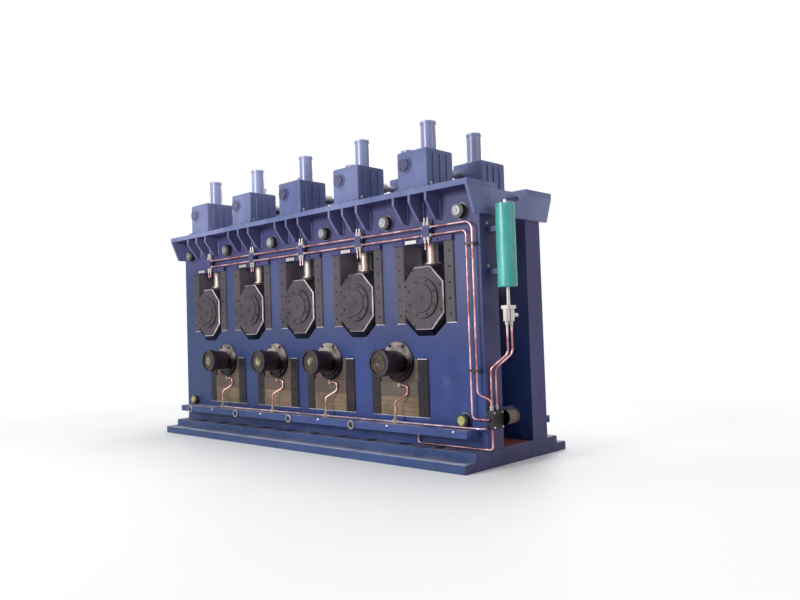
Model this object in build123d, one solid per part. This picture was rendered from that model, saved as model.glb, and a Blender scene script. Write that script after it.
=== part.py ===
"""Multi-roll straightening machine: five screw-set upper rolls over four lower rolls.

Millimetres. X runs along the pass line, the front side frame faces -Y and Z is up. The origin is
the centre of the bottom plate's underside.
"""
import os

from build123d import *

os.makedirs("parts", exist_ok=True)

# Roll stations: five upper rolls at one pitch, the row a little off the middle of the machine
roll_pitch = 700.0
upper_roll_count = 5
row_shift = -30.0
end_margin = 475.0
outer_station_ratio = 1.6

# Side frames: two thick upright plates that stand on the base
frame_thickness = 185.0
frame_gap = 354.0

# Base: a wide bottom plate with a plinth plate on it
bottom_plate_thickness = 63.0
plinth_thickness = 55.0
plinth_reach = 125.0
bottom_plate_margin = 118.0
plate_edge_chamfer = 4.0
anchor_pitch = 335.0
anchor_count = 10
anchor_hole_radius = 17.0

# Rolls and their journals
lower_roll_z = 706.0
roll_diameter = 360.0
roll_gap = 94.0
roll_side_gap = 27.0
roll_edge_radius = 8.0
journal_radius = 70.0
journal_clearance = 0.05
shoulder_radius = 96.0
shoulder_end_gap = 1.0
upper_shaft_end_gap = 3.0

# Upper chocks: octagonal blocks with a round bearing cover, guided between two liners
chock_width = 380.0
chock_height = 450.0
chock_flat = 150.0
chock_chamfer_height = 115.0
chock_proud = 30.0
chock_bevel = 7.0
chock_side_gap = 0.5
cover_radius = 145.0
cover_proud = 14.0
cover_step_radius = 104.0
cover_step_proud = 8.0
thrust_cup_radius = 76.0
thrust_cup_height = 20.0

# Upper windows in the frames
upper_liner_width = 89.5
window_rise = 165.0
notch_gap = 45.0
notch_rise = 95.0
notch_flat = 160.0
liner_proud = 12.0
liner_bevel = 6.0
keeper_height = 36.0
keeper_thickness = 24.0
head_depth = 335.0

# Lower windows, their chocks and the plates under them
lower_liner_width = 97.0
lower_shoulder_rise = 22.0
lower_window_drop = 394.0
lower_arch_radius = 134.0
lower_chock_gap = 1.0
spacer_height = 136.0
spacer_count = 4
spacer_groove = 4.0
chock_step = 10.0
shaft_flange_radius = 148.0
shaft_flange_proud = 33.0
shaft_flange_rim = 24.0
flange_boss_radius = 116.0
flange_bore_gap = 4.0

# Shaft hubs with their ring nuts, outside the lower chocks
hub_gap = 3.0
hub_radius = 85.0
hub_neck_radius = 78.0
hub_neck_length = 24.0
shaft_reach = 218.0
ring_nut_radius = 100.0
ring_nut_length = 50.0
ring_nut_recess = 8.0
shaft_end_radius = 86.0

# Top flanges with the gussets under them, and the end plates
flange_thickness = 40.0
flange_overhang = 147.0
gusset_spacing = 155.0
gusset_thickness = 20.0
gusset_height = 180.0
gusset_nose = 55.0
gusset_foot = 50.0
gusset_foot_radius = 30.0
gusset_inset = 3.0
end_plate_thickness = 20.0
end_plate_drop = 182.0
end_plate_taper = 74.0
end_slot_width = 165.0
end_slot_height = 36.0
end_slot_drop = 45.0

# Screw gear: worm gearboxes, screw tubes and screws
gearbox_width = 286.0
gearbox_depth = 290.0
gearbox_height = 277.0
gearbox_forward = 50.0
gearbox_corner_radius = 14.0
gearbox_foot_height = 22.0
gearbox_foot_reach = 9.0
rib_thickness = 16.0
rib_reach = 8.0
rib_spacing = 74.0
rib_margin = 24.0
worm_offset = 66.0
worm_height = 188.0
worm_boss_radius = 60.0
worm_boss_proud = 8.0
worm_cover_radius = 48.0
worm_cover_proud = 14.0
cross_shaft_radius = 24.0
coupling_radius = 40.0
coupling_length = 96.0
screw_radius = 42.0
screw_clearance = 1.0
screw_reach = 90.0
screw_foot_radius = 56.0
screw_foot_height = 12.0
tube_radius = 57.0
tube_wall = 9.0
tube_height = 245.0
tube_cap_thickness = 12.0
tube_lip_radius = 61.0
tube_lip_height = 16.0
tube_collar_radius = 78.0
tube_collar_height = 16.0

# Tie rods through both frames, with round nuts and spacer tubes
tie_rod_drop = 147.0
tie_end_inset = 150.0
tie_rod_radius = 41.0
tie_nut_radius = 53.0
tie_washer_radius = 58.0
tie_washer_length = 8.0
tie_nut_length = 44.0
tie_rod_stickout = 8.0
tie_spacer_wall = 14.0
low_tie_end_inset = 175.0
low_tie_scale = 0.86
low_tie_gap = 2.0

# Ledge below the lower windows
ledge_left_inset = 102.0
ledge_right_inset = 63.0
ledge_reach = 138.0
ledge_thickness = 52.0
ledge_drop = 50.0
ledge_lip = 16.0

# Lubrication line pair across the front, with manifolds and fittings
pipe_radius = 7.0
pipe_seat = 0.3
line_spacing = 57.0
line_standoff = 40.0
line_inset = 87.0
line_bend_radius = 34.0
leg_spacing = 50.0
leg_swing_height = 80.0
leg_swing_drop = 42.0
leg_swing_radius = 40.0
manifold_shift = 66.0
manifold_width = 62.0
manifold_height = 80.0
manifold_depth = 28.0
manifold_standoff = 26.0
manifold_gap = 2.0
fitting_nut_radius = 13.0
fitting_stem_radius = 8.5
fitting_height = 44.0
fitting_spacing = 31.0
valve_height = 58.0
tail_radius = 5.0
tail_length = 44.0
clamp_margin = 18.0
clamp_height = 16.0
clamp_inset = 45.0
clamp_low_rise = 390.0

# Grease reservoir on the end, distributor under it, and the pump at the foot
reservoir_radius = 66.0
reservoir_height = 560.0
reservoir_drop = 120.0
reservoir_gap = 52.0
reservoir_inset = 130.0
reservoir_cap_radius = 11.0
reservoir_cap_height = 26.0
neck_length = 124.0
neck_radius = 12.0
bracket_width = 80.0
bracket_height = 36.0
bracket_inset = 90.0
distributor_height = 82.0
distributor_bridge = 24.0
distributor_width = 50.0
hex_spacing = 52.0
hex_radius = 24.0
pump_width = 117.0
pump_depth = 55.0
pump_height = 125.0
pump_front_gap = 2.0
pump_nut_radius = 12.0
pump_nut_height = 30.0
pump_port_rise = 68.0
pump_inset = 15.0
motor_radius = 50.0
motor_length = 110.0
motor_gap = 4.0
motor_base_height = 20.0
pump_line_high_bend = 375.0
pump_line_low_bend = 275.0
pump_line_bend_radius = 60.0

# Grease pipe along the ledge with a fitting below each lower chock, and the pipe at the foot
ledge_pipe_reach = 78.0
ledge_pipe_rise = 12.0
ledge_block_size = 30.0
ledge_block_shift = 22.0
nipple_drop = 170.0
curl_reach = 74.0
curl_height = 62.0
curl_slant = 56.0
curl_bend_radius = 26.0
foot_pipe_standoff = 23.0
foot_pipe_rise = 15.0
foot_pipe_end_inset = 595.0
foot_bend_radius = 20.0

# Small allowances used all over: broken edges, and how far a cutter runs past a face
edge_break = 4.0
overrun = 1.0

# Places and sizes that follow from the values above
sides = (-1, 1)
half_length = (upper_roll_count - 1) * roll_pitch / 2 + end_margin
inner_y = frame_gap / 2
outer_y = inner_y + frame_thickness
mid_y = inner_y + frame_thickness / 2
plinth_top = bottom_plate_thickness + plinth_thickness
upper_roll_z = lower_roll_z + roll_diameter + roll_gap
chock_top = upper_roll_z + chock_height / 2
chock_face = outer_y + chock_proud
notch_bottom = chock_top - chock_height - notch_gap
window_bottom = notch_bottom + notch_rise
window_top = chock_top + window_rise
window_half = chock_width / 2 + chock_side_gap + upper_liner_width
frame_top = window_top + head_depth
deck_top = frame_top + flange_thickness
gearbox_top = deck_top + gearbox_height
gearbox_y = mid_y + gearbox_forward
tube_top = gearbox_top + tube_height
worm_z = deck_top + worm_height
lower_window_bottom = lower_roll_z - lower_window_drop
lower_window_top = lower_roll_z + lower_shoulder_rise
lower_window_half = chock_width / 2 + lower_chock_gap + lower_liner_width
lower_chock_bottom = lower_window_bottom + spacer_height
screw_bore = screw_radius + screw_clearance
ledge_top = lower_window_bottom - ledge_drop
pump_top = ledge_top + pump_height
pump_front = -outer_y - pump_front_gap
reservoir_x = half_length + reservoir_gap + reservoir_radius
reservoir_y = reservoir_inset - outer_y
reservoir_bottom = frame_top - reservoir_drop - reservoir_height
manifold_bottom = window_top + keeper_height + manifold_gap
line_y = -outer_y - line_standoff
line_x = half_length - line_inset
upper_x = [row_shift + roll_pitch * (i - (upper_roll_count - 1) / 2) for i in range(upper_roll_count)]
lower_x = [row_shift + roll_pitch * ratio for ratio in (-outer_station_ratio, -0.5, 0.5, outer_station_ratio)]


def block(x0, x1, y0, y1, z0, z1):
    """A box between two opposite corners, given in any order."""
    size = (abs(x1 - x0), abs(y1 - y0), abs(z1 - z0))
    return Pos((x0 + x1) / 2, (y0 + y1) / 2, (z0 + z1) / 2) * Box(*size)


def rod_y(x, z, radius, y0, y1):
    """A round bar along Y."""
    return Pos(x, (y0 + y1) / 2, z) * Rot(90, 0, 0) * Cylinder(radius, abs(y1 - y0))


def rod_z(x, y, radius, z0, z1):
    """A round bar along Z."""
    return Pos(x, y, (z0 + z1) / 2) * Cylinder(radius, abs(z1 - z0))


def plate_xz(face, y0, y1):
    """A plate cut from a face drawn in X and Z, between two Y planes."""
    front = Plane(origin=(0, max(y0, y1), 0), x_dir=(1, 0, 0), z_dir=(0, -1, 0))
    return extrude(front * face, amount=abs(y1 - y0))


def turned_y(x, z, profile, side=1):
    """A turned piece on an axis along Y: its profile lists (distance along Y, radius)."""
    outline = Plane(origin=(x, 0, z), x_dir=(0, side, 0), z_dir=(side, 0, 0)) * make_face(
        Polyline(*profile, close=True)
    )
    return revolve(outline, Axis((x, 0, z), (0, 1, 0)))


def turned_z(x, y, profile):
    """A turned piece on an upright axis: its profile lists (radius, height)."""
    outline = Plane(origin=(x, y, 0), x_dir=(1, 0, 0), z_dir=(0, -1, 0)) * make_face(
        Polyline(*profile, close=True)
    )
    return revolve(outline, Axis((x, y, 0), (0, 0, 1)))


def pipe(points, bend_radii, radius=pipe_radius):
    """A round tube along straight runs joined by arcs."""
    path = FilletPolyline(*points, radius=bend_radii)
    return sweep(Plane(origin=path @ 0, z_dir=path % 0) * Circle(radius), path=path)


def write(name, solids):
    """Write one node: a single solid, or like solids that don't touch."""
    group = solids if isinstance(solids, list) else [solids]
    shape = group[0] if len(group) == 1 else Compound(children=group)
    export_step(shape, f"parts/{name}.step")


def anchor_places():
    """Foundation bolts: one row along each long side, midway between frame and plinth edge."""
    y = outer_y + plinth_reach / 2
    row = [anchor_pitch * (i - (anchor_count - 1) / 2) for i in range(anchor_count)]
    return [(x, side * y) for side in sides for x in row]


def base_plates():
    """Bottom plate and plinth plate, drilled through for the foundation bolts."""
    plinth_y = outer_y + plinth_reach
    bottom_y = plinth_y + bottom_plate_margin
    holes = [rod_z(x, y, anchor_hole_radius, -overrun, plinth_top + overrun) for x, y in anchor_places()]
    bottom = block(-half_length, half_length, -bottom_y, bottom_y, 0, bottom_plate_thickness)
    bottom = chamfer(bottom.faces().sort_by(Axis.Z)[-1].edges(), plate_edge_chamfer)
    plinth = block(-half_length, half_length, -plinth_y, plinth_y, bottom_plate_thickness, plinth_top)
    plinth = chamfer(plinth.faces().sort_by(Axis.Z)[-1].edges(), plate_edge_chamfer)
    write("bottom_plate", bottom - holes)
    write("plinth_plate", plinth - holes)


def tie_places():
    """Tie rods through both frames: x, z and a size factor for the rod and its nuts."""
    high_z = frame_top - tie_rod_drop
    low_z = ledge_top + low_tie_gap + tie_washer_radius * low_tie_scale
    high = [(x + roll_pitch / 2, high_z, 1.0) for x in upper_x[:-1]]
    high += [(side * (half_length - tie_end_inset), high_z, 1.0) for side in sides]
    low = [(side * (half_length - low_tie_end_inset), low_z, low_tie_scale) for side in sides]
    return high + low


def upper_window(x):
    """An upper window: a slot for chock and liners, with a trapezoid notch below it."""
    notch = Polygon(
        (x - chock_width / 2, window_bottom),
        (x - notch_flat / 2, notch_bottom),
        (x + notch_flat / 2, notch_bottom),
        (x + chock_width / 2, window_bottom),
        align=None,
    )
    slot = Pos(x, (window_bottom + window_top) / 2) * Rectangle(2 * window_half, window_top - window_bottom)
    return slot + notch


def lower_window(x):
    """A lower window: a rectangle with a round head for the chock."""
    height = lower_window_top - lower_window_bottom
    slot = Pos(x, lower_window_bottom + height / 2) * Rectangle(2 * lower_window_half, height)
    return slot + Pos(x, lower_roll_z) * Circle(lower_arch_radius)


def side_frame(side):
    """One upright plate with its two rows of windows, tie rod holes and screw bores."""
    height = frame_top - plinth_top
    face = Pos(0, plinth_top + height / 2) * Rectangle(2 * half_length, height)
    face -= [upper_window(x) for x in upper_x]
    face -= [lower_window(x) for x in lower_x]
    face -= [Pos(x, z) * Circle(tie_rod_radius * scale) for x, z, scale in tie_places()]
    frame = plate_xz(face, side * inner_y, side * outer_y)
    bores = [rod_z(x, side * mid_y, screw_bore, window_top - overrun, frame_top + overrun) for x in upper_x]
    return frame - bores


def tie_rods():
    """Each rod is one turned piece with a washer, a round nut and a domed end at both sides."""
    rods = []
    spacers = []
    for x, z, scale in tie_places():
        radius = tie_rod_radius * scale
        nut = tie_nut_radius * scale
        washer_y = outer_y + tie_washer_length * scale
        nut_y = washer_y + tie_nut_length * scale
        end_y = nut_y + tie_rod_stickout * scale
        bevel = edge_break * scale
        half = [
            (outer_y, radius),
            (outer_y, tie_washer_radius * scale),
            (washer_y, tie_washer_radius * scale),
            (washer_y, nut),
            (nut_y - bevel, nut),
            (nut_y, nut - bevel),
            (nut_y, radius),
            (end_y - bevel, radius),
            (end_y, radius - bevel),
        ]
        mirrored = [(-y, r) for y, r in reversed(half)]
        rods.append(turned_y(x, z, [(-end_y, 0)] + mirrored + half + [(end_y, 0)]))
        tube = rod_y(x, z, radius + tie_spacer_wall, -inner_y, inner_y)
        spacers.append(tube - rod_y(x, z, radius, -inner_y - overrun, inner_y + overrun))
    write("tie_rods", rods)
    write("tie_rod_spacers", spacers)


def gusset(x, side):
    """A flange bracket: upright nose, then a straight taper down to a rounded foot."""
    reach = flange_overhang - gusset_inset
    face = make_face(
        Polyline((0, 0), (reach, 0), (reach, -gusset_nose), (gusset_foot, -gusset_height), (0, -gusset_height),
                 close=True)
    )
    toe = face.vertices().sort_by_distance((gusset_foot, -gusset_height, 0))[0]
    upright = Plane(origin=(x, side * outer_y, frame_top), x_dir=(0, side, 0), z_dir=(side, 0, 0))
    return extrude(upright * fillet(toe, gusset_foot_radius), amount=gusset_thickness / 2, both=True)


def top_flanges():
    """The flange plate on each frame, with its gussets in threes under every screw tower."""
    plates = []
    for side in sides:
        edge = side * (outer_y + flange_overhang)
        ends = half_length + end_plate_thickness
        plate = block(-ends, ends, side * inner_y, edge, frame_top, deck_top)
        bores = [rod_z(x, side * mid_y, screw_bore, frame_top - overrun, deck_top + overrun) for x in upper_x]
        plates.append(plate - bores)
    write("top_flanges", plates)
    offsets = [-gusset_spacing, 0, gusset_spacing]
    write("gussets", [gusset(x + offset, side) for side in sides for x in upper_x for offset in offsets])


def end_plates():
    """A plate across both frames at each end, under the flanges, with tapered sides and a slot."""
    top_y = outer_y + flange_overhang
    low_y = top_y - end_plate_taper
    low_z = frame_top - end_plate_drop
    face = Polygon((-top_y, frame_top), (-low_y, low_z), (low_y, low_z), (top_y, frame_top), align=None)
    face -= Pos(0, frame_top - end_slot_drop) * SlotOverall(end_slot_width, end_slot_height)
    plates = []
    for side in sides:
        upright = Plane(origin=(side * half_length, 0, 0), x_dir=(0, 1, 0), z_dir=(1, 0, 0))
        plates.append(extrude(upright * face, amount=side * end_plate_thickness))
    write("end_crossbeams", plates)


def gearbox(x, side):
    """A worm gearbox: rounded housing on a foot, upright ribs on both ends and a worm bearing boss."""
    centre = Pos(x, side * gearbox_y, deck_top + gearbox_height / 2)
    body = centre * Box(gearbox_width, gearbox_depth, gearbox_height)
    body = fillet(body.edges().filter_by(Axis.Z), gearbox_corner_radius)
    foot = Pos(x, side * gearbox_y, deck_top + gearbox_foot_height / 2) * Box(
        gearbox_width + 2 * gearbox_foot_reach, gearbox_depth + 2 * gearbox_foot_reach, gearbox_foot_height
    )
    body += foot
    rib_bottom = deck_top + gearbox_foot_height
    rib_top = gearbox_top - rib_margin
    for hand in sides:
        wall = x + hand * gearbox_width / 2
        for step in (-1, 0, 1):
            y = side * gearbox_y + step * rib_spacing
            body += block(wall - hand * overrun, wall + hand * rib_reach, y - rib_thickness / 2,
                          y + rib_thickness / 2, rib_bottom, rib_top)
    boss_y = gearbox_y + gearbox_depth / 2 + worm_boss_proud
    body += rod_y(x - worm_offset, worm_z, worm_boss_radius, side * gearbox_y, side * boss_y)
    return body - rod_z(x, side * mid_y, screw_bore, deck_top - overrun, gearbox_top + overrun)


def screw_tube(x, side):
    """The closed tube over a screw: bolted collar, plain tube and a lip under its cap."""
    bore = tube_radius - tube_wall
    lip_top = tube_top - tube_cap_thickness / 2
    lip_bottom = lip_top - tube_lip_height
    profile = [
        (bore, gearbox_top),
        (tube_collar_radius, gearbox_top),
        (tube_collar_radius, gearbox_top + tube_collar_height),
        (tube_radius, gearbox_top + tube_collar_height),
        (tube_radius, lip_bottom),
        (tube_lip_radius, lip_bottom),
        (tube_lip_radius, lip_top),
        (tube_radius, tube_top),
        (0, tube_top),
        (0, tube_top - tube_cap_thickness),
        (bore, tube_top - tube_cap_thickness),
    ]
    return turned_z(x, side * mid_y, profile)


def screw_towers():
    """Gearboxes, worm bearing covers, screw tubes and the shafts that join front and rear."""
    places = [(x, side) for side in sides for x in upper_x]
    write("screw_gearboxes", [gearbox(x, side) for x, side in places])
    write("screw_tubes", [screw_tube(x, side) for x, side in places])
    cover_y = gearbox_y + gearbox_depth / 2 + worm_boss_proud
    cover_end = cover_y + worm_cover_proud
    profile = [
        (cover_y, 0),
        (cover_y, worm_cover_radius),
        (cover_end - edge_break, worm_cover_radius),
        (cover_end, worm_cover_radius - edge_break),
        (cover_end, 0),
    ]
    write("worm_covers", [turned_y(x - worm_offset, worm_z, profile, side) for x, side in places])
    shaft_end = gearbox_y - gearbox_depth / 2
    shaft = [
        (-shaft_end, 0),
        (-shaft_end, cross_shaft_radius),
        (-coupling_length / 2, cross_shaft_radius),
        (-coupling_length / 2, coupling_radius),
        (coupling_length / 2, coupling_radius),
        (coupling_length / 2, cross_shaft_radius),
        (shaft_end, cross_shaft_radius),
        (shaft_end, 0),
    ]
    write("cross_shafts", [turned_y(x - worm_offset, worm_z, shaft) for x in upper_x])


def liner(x0, x1, side, z0, z1):
    """A guide liner bar in a window, its front edges bevelled."""
    bar = block(x0, x1, side * inner_y, side * (outer_y + liner_proud), z0, z1)
    front = bar.faces().sort_by(Axis.Y)[-1 if side > 0 else 0]
    return chamfer(front.edges().filter_by(Axis.Z), liner_bevel)


def window_liners():
    """Liners on both sides of every window, and the keeper plate over each upper window."""
    upper = []
    lower = []
    keepers = []
    for side in sides:
        for x in upper_x:
            for hand in sides:
                wall = x + hand * window_half
                upper.append(liner(wall, wall - hand * upper_liner_width, side, window_bottom, window_top))
            keepers.append(block(x - window_half, x + window_half, side * outer_y,
                                 side * (outer_y + keeper_thickness), window_top, window_top + keeper_height))
        for x in lower_x:
            for hand in sides:
                wall = x + hand * lower_window_half
                lower.append(liner(wall, wall - hand * lower_liner_width, side, lower_window_bottom,
                                   lower_window_top))
    write("upper_liners", upper)
    write("lower_liners", lower)
    write("keeper_plates", keepers)


def lower_chock(x, side):
    """A lower chock: a block with a round head and a step across its face, bored for the journal."""
    height = lower_window_top - lower_chock_gap - lower_chock_bottom
    face = Pos(x, lower_chock_bottom + height / 2) * Rectangle(chock_width, height)
    face += Pos(x, lower_roll_z) * Circle(lower_arch_radius - lower_chock_gap)
    chock = plate_xz(face, side * inner_y, side * outer_y)
    step_top = lower_roll_z - shaft_flange_radius - lower_chock_gap
    chock += block(x - chock_width / 2, x + chock_width / 2, side * outer_y, side * (outer_y + chock_step),
                   lower_chock_bottom, step_top)
    return chock - rod_y(x, lower_roll_z, journal_radius + journal_clearance, side * (inner_y - overrun),
                         side * (outer_y + overrun))


def shaft_flange(x, side):
    """The round bolted flange on a lower chock, with a raised boss round the shaft."""
    bore = journal_radius + flange_bore_gap
    face_y = outer_y + shaft_flange_proud
    rim_y = outer_y + shaft_flange_rim
    profile = [
        (outer_y, bore),
        (outer_y, shaft_flange_radius),
        (rim_y - edge_break, shaft_flange_radius),
        (rim_y, shaft_flange_radius - edge_break),
        (rim_y, flange_boss_radius + edge_break),
        (face_y, flange_boss_radius),
        (face_y, bore),
    ]
    return turned_y(x, lower_roll_z, profile, side)


def spacer_stack(x, side):
    """The plates under a lower chock, drawn as one stack with a groove at each joint."""
    z0 = lower_window_bottom
    step = spacer_height / spacer_count
    y1 = outer_y + chock_step
    stack = block(x - chock_width / 2, x + chock_width / 2, side * inner_y, side * y1, z0, lower_chock_bottom)
    for level in range(1, spacer_count):
        z = z0 + level * step
        groove = block(x - chock_width, x + chock_width, side * (y1 - spacer_groove), side * (y1 + overrun),
                       z - spacer_groove / 2, z + spacer_groove / 2)
        stack -= groove
    return stack


def lower_windows():
    """What fills the lower windows on both frames."""
    places = [(x, side) for side in sides for x in lower_x]
    write("lower_chocks", [lower_chock(x, side) for x, side in places])
    write("shaft_flanges", [shaft_flange(x, side) for x, side in places])
    write("spacer_stacks", [spacer_stack(x, side) for x, side in places])


def roll_profile(journal_end):
    """Half profile of a roll from its middle outwards: barrel, shoulder and journal."""
    face = inner_y - roll_side_gap
    shoulder = inner_y - shoulder_end_gap
    return [
        (face - roll_edge_radius, roll_diameter / 2),
        (face, roll_diameter / 2 - roll_edge_radius),
        (face, shoulder_radius),
        (shoulder, shoulder_radius),
        (shoulder, journal_radius),
        (journal_end, journal_radius),
    ]


def turned_roll(x, z, half, end):
    """A roll turned from a half profile that is mirrored about the pass line."""
    mirrored = [(-y, radius) for y, radius in reversed(half)]
    return turned_y(x, z, [(-end, 0)] + mirrored + half + [(end, 0)])


def upper_chock(x, side):
    """An octagonal chock with bevelled face edges, a stepped bearing cover and a thrust cup on top."""
    half = chock_width / 2
    flat = chock_flat / 2
    corner = chock_height / 2 - chock_chamfer_height
    points = [(half, corner), (flat, chock_height / 2), (-flat, chock_height / 2), (-half, corner)]
    points += [(-a, -b) for a, b in points]
    face = Pos(x, upper_roll_z) * Polygon(*points, align=None)
    chock = plate_xz(face, side * inner_y, side * chock_face)
    front = chock.faces().sort_by(Axis.Y)[-1 if side > 0 else 0]
    chock = chamfer(front.edges(), chock_bevel)
    step_y = chock_face + cover_proud
    cover = [
        (chock_face - overrun, 0),
        (chock_face - overrun, cover_radius),
        (step_y - edge_break, cover_radius),
        (step_y, cover_radius - edge_break),
        (step_y, cover_step_radius),
        (step_y + cover_step_proud, cover_step_radius - edge_break),
        (step_y + cover_step_proud, 0),
    ]
    chock += turned_y(x, upper_roll_z, cover, side)
    cup_top = chock_top + thrust_cup_height
    chock += rod_z(x, side * mid_y, thrust_cup_radius, chock_top - overrun, cup_top)
    return chock - rod_y(x, upper_roll_z, journal_radius + journal_clearance, side * (inner_y - overrun),
                         side * outer_y)


def screw(x, side):
    """A screw with its thrust foot, standing in the chock's cup."""
    foot = chock_top + thrust_cup_height
    top = gearbox_top + screw_reach
    profile = [
        (0, foot),
        (screw_foot_radius, foot),
        (screw_foot_radius, foot + screw_foot_height),
        (screw_radius, foot + screw_foot_height + edge_break),
        (screw_radius, top - edge_break),
        (screw_radius - edge_break, top),
        (0, top),
    ]
    return turned_z(x, side * mid_y, profile)


def upper_roll_sets():
    """Each upper roll with its chocks and screws."""
    journal_end = outer_y - upper_shaft_end_gap
    for number, x in enumerate(upper_x, start=1):
        write(f"upper_chocks_{number}", [upper_chock(x, side) for side in sides])
        write(f"upper_screws_{number}", [screw(x, side) for side in sides])
        write(f"upper_roll_{number}", turned_roll(x, upper_roll_z, roll_profile(journal_end), journal_end))


def shaft_hub(x, side):
    """The sleeve outside a lower chock and its ring nut, one turned piece with a recessed face."""
    start = outer_y + shaft_flange_proud + hub_gap
    end = outer_y + shaft_reach
    nut_start = end - ring_nut_length
    profile = [
        (start, journal_radius),
        (start, hub_neck_radius),
        (start + hub_neck_length, hub_radius),
        (nut_start, hub_radius),
        (nut_start, ring_nut_radius - edge_break),
        (nut_start + edge_break, ring_nut_radius),
        (end - edge_break, ring_nut_radius),
        (end, ring_nut_radius - edge_break),
        (end, shaft_end_radius),
        (end - ring_nut_recess, shaft_end_radius),
        (end - ring_nut_recess, journal_radius),
    ]
    return turned_y(x, lower_roll_z, profile, side)


def lower_rolls():
    """The lower rolls, their shafts running out through the flanges, with a hub at each end."""
    shaft_end = outer_y + shaft_reach - ring_nut_recess
    for number, x in enumerate(lower_x, start=1):
        write(f"lower_roll_{number}", turned_roll(x, lower_roll_z, roll_profile(shaft_end), shaft_end))
        write(f"lower_hubs_{number}", [shaft_hub(x, side) for side in sides])


def ledges():
    """A long bar on each frame's face below the lower windows, hollowed underneath."""
    x0 = ledge_left_inset - half_length
    x1 = half_length - ledge_right_inset
    bottom = ledge_top - ledge_thickness
    bars = []
    for side in sides:
        edge = side * (outer_y + ledge_reach)
        bar = block(x0, x1, side * outer_y, edge, bottom, ledge_top)
        bar -= block(x0 - overrun, x1 + overrun, side * (outer_y + ledge_reach / 2), edge - side * ledge_lip,
                     bottom - overrun, bottom + ledge_lip)
        bars.append(bar)
    write("ledges", bars)


def line_routes():
    """Both lines across the front: corner points and bend radii from the first manifold to the pump."""
    start = upper_x[0] + manifold_shift
    low_z = manifold_bottom + (manifold_height - line_spacing) / 2
    high_z = low_z + line_spacing
    port_z = ledge_top + pump_port_rise
    port_x = half_length + pump_depth / 2
    nut_top = pump_top + pump_nut_height
    swing_x, swing_y = pump_nut_places()[0]
    low = [(start, line_y, low_z), (line_x, line_y, low_z), (line_x, line_y, port_z),
           (port_x, line_y, port_z), (port_x, pump_front, port_z)]
    leg_x = line_x + leg_spacing
    high = [(start, line_y, high_z), (leg_x, line_y, high_z), (leg_x, line_y, nut_top + leg_swing_height),
            (swing_x, swing_y, nut_top + leg_swing_height - leg_swing_drop), (swing_x, swing_y, nut_top)]
    tight = line_bend_radius - pipe_radius
    return [(low, [line_bend_radius, line_bend_radius, tight]),
            (high, [line_bend_radius + leg_spacing / 2, leg_swing_radius, leg_swing_radius])]


def tube_nut(x, y, z, way, height=fitting_height):
    """A hexagon tube nut with a slimmer stem, standing up or hanging down."""
    flats = Plane(origin=(x, y, z)) * RegularPolygon(fitting_nut_radius, 6)
    nut = extrude(flats, amount=way * height / 2)
    root = z + way * (height / 2 - overrun)
    return nut + rod_z(x, y, fitting_stem_radius, root, z + way * height)


def manifold(centre):
    """A distributor block for both lines, held off the frame by a smaller foot."""
    back_y = -outer_y - manifold_standoff
    half = manifold_width / 2
    top = manifold_bottom + manifold_height
    body = block(centre - half, centre + half, back_y, back_y - manifold_depth, manifold_bottom, top)
    foot = block(centre - half / 2, centre + half / 2, -outer_y, back_y - overrun,
                 manifold_bottom + manifold_height / 4, top - manifold_height / 4)
    return body + foot


def lube_lines():
    """The line pair with its manifolds, its fittings and its clamps beside the legs."""
    routes = line_routes()
    bores = [pipe(points, radii, pipe_radius + pipe_seat) for points, radii in routes]
    manifold_top = manifold_bottom + manifold_height
    manifolds = []
    fittings = []
    for x in upper_x:
        centre = x + manifold_shift
        manifolds.append(manifold(centre) - bores)
        for hand in sides:
            place = centre + hand * fitting_spacing / 2
            fittings.append(tube_nut(place, line_y, manifold_top, 1, valve_height))
            tip = manifold_bottom - fitting_height
            tail = rod_z(place, line_y, tail_radius, tip - tail_length, tip)
            fittings.append(tube_nut(place, line_y, manifold_bottom, -1) + tail)
    clamps = []
    for z in (window_top - clamp_inset, ledge_top + clamp_low_rise):
        clamps.append(block(line_x - clamp_margin, line_x + leg_spacing + clamp_margin, -outer_y,
                            line_y - clamp_height / 2, z - clamp_height / 2, z + clamp_height / 2) - bores)
    write("lube_manifolds", manifolds)
    write("line_clamps", clamps)
    write("lube_lines", [pipe(points, radii) for points, radii in routes])
    return fittings


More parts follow.
